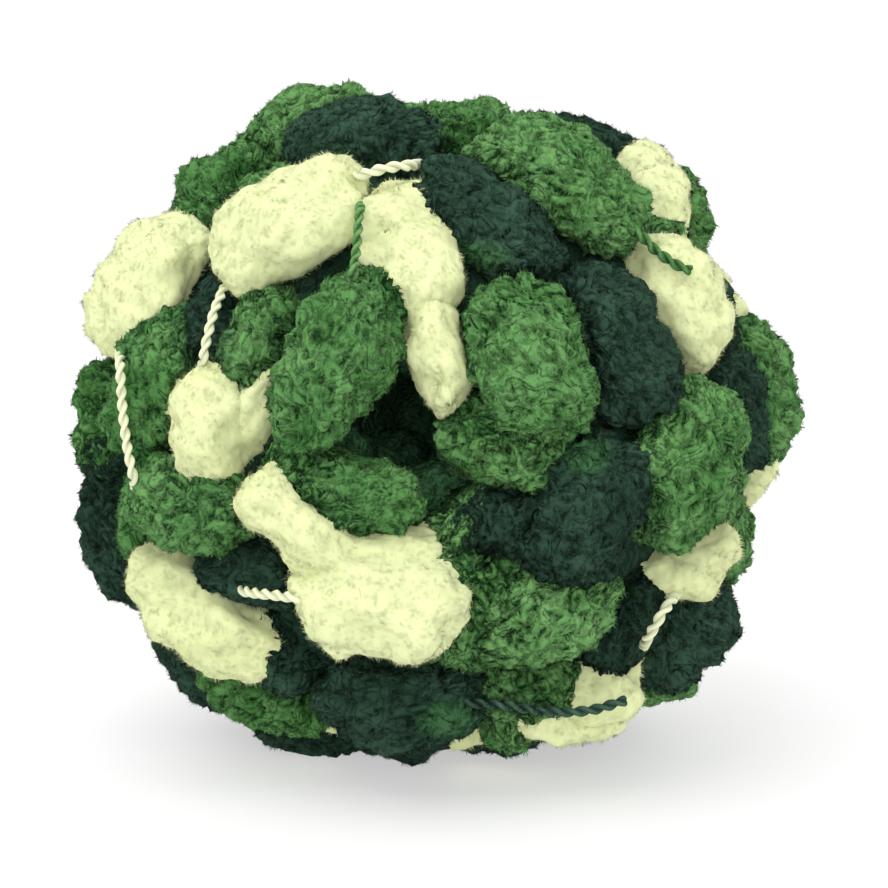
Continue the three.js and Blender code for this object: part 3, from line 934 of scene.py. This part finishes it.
def openness(points, others):
    """How far points are from the creases between their puff and others, from 0 in a crease to 1."""
    # The skin's painted shade in the creases between puffs follows this.
    room = np.full(len(points), CREASE["outside"])
    for other in others:
        room = np.minimum(room, (depth_in(other, points) - 1) * PUFF["thickness"] / 2)
    return np.clip((room + CREASE["inside"]) / (CREASE["outside"] + CREASE["inside"]), 0, 1)


def dye_at(points, colour):
    """How far pile of a colour goes over to its other dye at points."""
    seen = (points - CENTRE) @ np.array([[1, 0, 0], SEEN_UP]).T
    share = np.zeros(len(points))
    for dyed, right, up, wide, high in OTHER_DYE:
        if dyed != colour:
            continue
        apart = np.hypot((seen[:, 0] - right) / wide, (seen[:, 1] - up) / high)
        share = np.maximum(share, np.clip(1.3 - apart, 0, MOST_DYE))
    return np.where((points - CENTRE) @ TO_EYE > 0, share, 0)


def detail_of(puff):
    """How finely a puff is made: most in front and in the hollow, and least deep in the winding."""
    if "deeper" in puff:
        return SPARSE
    is_hidden = "lift" in puff and "right" not in puff
    return COARSE if is_hidden else FINE


def puff_parts(puff, puffs, fields, blocked, rng):
    """A puff's skin and pile where they show."""
    colour, detail, is_lining = puff["colour"], detail_of(puff), "round" in puff
    points, normals, faces, crease = puff_skin(puff, fields["lumps"], fields[colour], detail)
    near = [o for o in puffs if o is not puff and np.linalg.norm(o["place"] - puff["place"]) < REACH]
    gone = buried(points, near, SKIN_DEPTH + 0.6) | (points[:, 2] < -1)
    if not is_lining:
        gone |= layer_share(points - CENTRE, -3) < 1
    shown = faces[~gone[faces].all(1)]
    bare = faces[~gone[faces].any(1)]
    # The puff's tone, raised by 0.4 on the lining as painted light in the shade of the hollow.
    shade = float(np.clip(0.5 + rng.normal() * 0.15, 0.2, 0.8)) + (0.4 if is_lining else 0)
    open_here = openness(points, near)
    # Painted shade: reach darkens the fleece's creases and, but on the lining, the creases between puffs.
    least = 1.0 if is_lining else 0.3
    skin = {
        "points": np.maximum(points, [-1e9, -1e9, 0.1]),
        "reach": np.clip(0.15 + 0.85 * crease, 0, 1) * (least + (1 - least) * open_here),
        "tuft": np.full(len(points), shade),
        "dye_and_hollow_light": np.full(len(points), HOLLOW_PAINTED_LIGHT) if is_lining else dye_at(points, colour),
        "out": normals,
    }
    pile = None
    if len(bare):
        pile = pile_on(skin, bare, colour, fields, detail["fibres"], blocked, shade, rng)
    used, numbers = np.unique(shown, return_inverse=True)
    cut = {name: values[used] for name, values in skin.items()}
    return {**cut, "faces": triangles(numbers.reshape(shown.shape))}, pile


def add_links(rng):
    """The stretches of bare cord, whose ends dip into the puffs. Gives the lines that show."""
    shown = []
    links = {"cream": [], "green": []}
    for colour, diameter, points in LINKS:
        line = smooth_line([seen_point(*point) + CENTRE for point in dipped(points)], END_STEP)
        middle = len(line) // 8
        shown.append(line[middle:-middle])
        links[colour].append(twisted_cord(line, diameter, 0.75, rng))
        links[colour].append(fuzz_along(line, 0.6, 0.14, 6, 0.75, rng))
    for colour, parts in links.items():
        piece = mesh_piece(f"bare_cord_{colour}", joined(parts), MATERIALS[f"cord_{colour}"])
        on_the_ball(piece, colour, "wound_ball")
    return shown


def dipped(points):
    """Points of a bare cord, with one more at each end that lies deeper in the ball."""
    points = np.array(points, float)
    first = points[0] * 1.35 - points[1] * 0.35
    last = points[-1] * 1.35 - points[-2] * 0.35
    first[2] = points[0][2] - DIP
    last[2] = points[-1][2] - DIP
    return [first, *points, last]


def add_ball():
    """All puffs, as a mesh or more for each colour's skin and for its pile."""
    rng = np.random.default_rng(SEED)
    front = front_puffs()
    puffs = front + lining_puffs()
    puffs += hidden_puffs(front, rng)
    puffs += deeper_puffs(puffs, np.random.default_rng(SEED + 1))
    fields = {colour: fleece_field(rng, pile["fold"]) for colour, pile in PILE.items()}
    large, small = lump_field(rng, 17, 0.8), lump_field(rng, 8, 0.45)
    fields["lumps"] = lambda points: large(points) + small(points)
    fields["curl"] = [lump_field(rng, 4.5, 1) for _ in range(3)]
    blocked = add_links(rng) + [line[int(len(line) * 0.3):] for line in end_lines]
    skins = {colour: [] for colour in PILE}
    piles = {colour: [] for colour in PILE}
    for puff in puffs:
        skin, pile = puff_parts(puff, puffs, fields, blocked, rng)
        skins[puff["colour"]].append(skin)
        if pile:
            piles[puff["colour"]].append(pile)
    for kind, parts in (("skin", skins), ("pile", piles)):
        for colour in PILE:
            pieces = math.ceil(sum(len(part["faces"]) for part in parts[colour]) / MOST_TRIANGLES)
            for i in range(pieces):
                part = joined(parts[colour][i::pieces])
                piece = mesh_piece(f"{kind}_{colour}_{i + 1}", part, MATERIALS[colour])
                on_the_ball(piece, colour, "wound_ball")


def add_packed_yarn():
    """The dark inside of the winding, seen between the puffs, with the hollow let into it."""
    bpy.ops.mesh.primitive_ico_sphere_add(subdivisions=6, radius=1)
    packed = bpy.context.object
    packed.name = "packed_yarn"
    mesh = packed.data
    ways = np.empty(len(mesh.vertices) * 3, np.float32)
    mesh.vertices.foreach_get("co", ways)
    ways = unit(ways.reshape(-1, 3).astype(float))
    reach = 1 / layer_share(ways, PACKED["lift"])
    start = seen_point(HOLLOW["right"], HOLLOW["up"], 0)
    low, high = start[1] - HOLLOW["radius"], start[1] + HOLLOW["depth"] - HOLLOW["radius"]
    for _ in range(PACKED["steps"]):
        x, y, z = (ways * reach[:, None]).T
        on_axis = np.clip(y, low, high)
        away = np.sqrt((x - start[0]) ** 2 + (z - start[2]) ** 2 + (y - on_axis) ** 2)
        cut = away < HOLLOW["radius"]
        reach[cut] -= PACKED["step"]
    # Painted light in the hollow, as a share of the dark yarn's other dye.
    inside = np.where(away < HOLLOW["radius"] + 2, HOLLOW_PAINTED_LIGHT, 0)
    points = ways * reach[:, None] + CENTRE
    top, crease = fleece_field(np.random.default_rng(SEED + 2), PACKED["fold"])(points)
    points += ways * (top - PACKED["fold_level"])[:, None] * PACKED["fold_height"]
    points[:, 2] = np.maximum(points[:, 2], 0.3)
    mesh.vertices.foreach_set("co", (points * MM).astype(np.float32).ravel())
    tuft = np.full(len(points), 0.4)
    # reach paints shade into the folds' creases.
    carry(mesh, {"reach": 0.35 + 0.65 * crease, "tuft": tuft, "dye_and_hollow_light": inside, "out": ways})
    mesh.materials.append(MATERIALS["dark"])
    on_the_ball(packed, "dark", "wound_ball")


add_ball()
add_packed_yarn()


# The stage

def add_floor():
    """A pale floor that curves up into a wall behind the ball."""
    wide, front, back, bend, high = 5.0, -2.5, 1.0, 1.2, 4.0
    profile = [(front, 0.0), (0.0, 0.0)]
    for i in range(25):
        angle = i / 24 * math.pi / 2
        profile.append((back + bend * math.sin(angle), bend * (1 - math.cos(angle))))
    profile.append((back + bend, high))
    points = [(side * wide, y, z) for y, z in profile for side in (-1, 1)]
    faces = [(2 * i, 2 * i + 1, 2 * i + 3, 2 * i + 2) for i in range(len(profile) - 1)]
    mesh = bpy.data.meshes.new("floor")
    mesh.from_pydata(points, [], faces)
    mesh.polygons.foreach_set("use_smooth", [True] * len(faces))
    mesh.materials.append(flat_material("floor", (0.44, 0.44, 0.44), 0.7, 1.14))
    floor = bpy.data.objects.new("floor", mesh)
    bpy.context.scene.collection.objects.link(floor)


def add_light(name, place, size, power, aim):
    """A round soft light that faces aim."""
    light = bpy.data.lights.new(name, "AREA")
    light.shape = "DISK"
    light.size = size
    light.energy = power
    holder = bpy.data.objects.new(name, light)
    holder.location = place
    way = np.array(aim) - np.array(place)
    fall = math.acos(-way[2] / np.linalg.norm(way))
    holder.rotation_euler = (fall, 0, math.atan2(way[1], way[0]) - math.pi / 2)
    bpy.context.scene.collection.objects.link(holder)


def add_world(strength):
    """Even white light from all round."""
    world = bpy.data.worlds.new("studio")
    world.use_nodes = True
    background = world.node_tree.nodes["Background"]
    background.inputs["Color"].default_value = (1, 1, 1, 1)
    background.inputs["Strength"].default_value = strength
    bpy.context.scene.world = world


add_floor()
add_world(1.05)
aim = (0, 0, BALL["height"] / 2 * MM)
add_light("key", (-0.4, -0.7, 1.4), 1.2, 11, aim)
add_light("fill", (0.1, -1.3, 0.35), 0.7, 4.5, aim)
bpy.context.scene.view_settings.view_transform = "Standard"
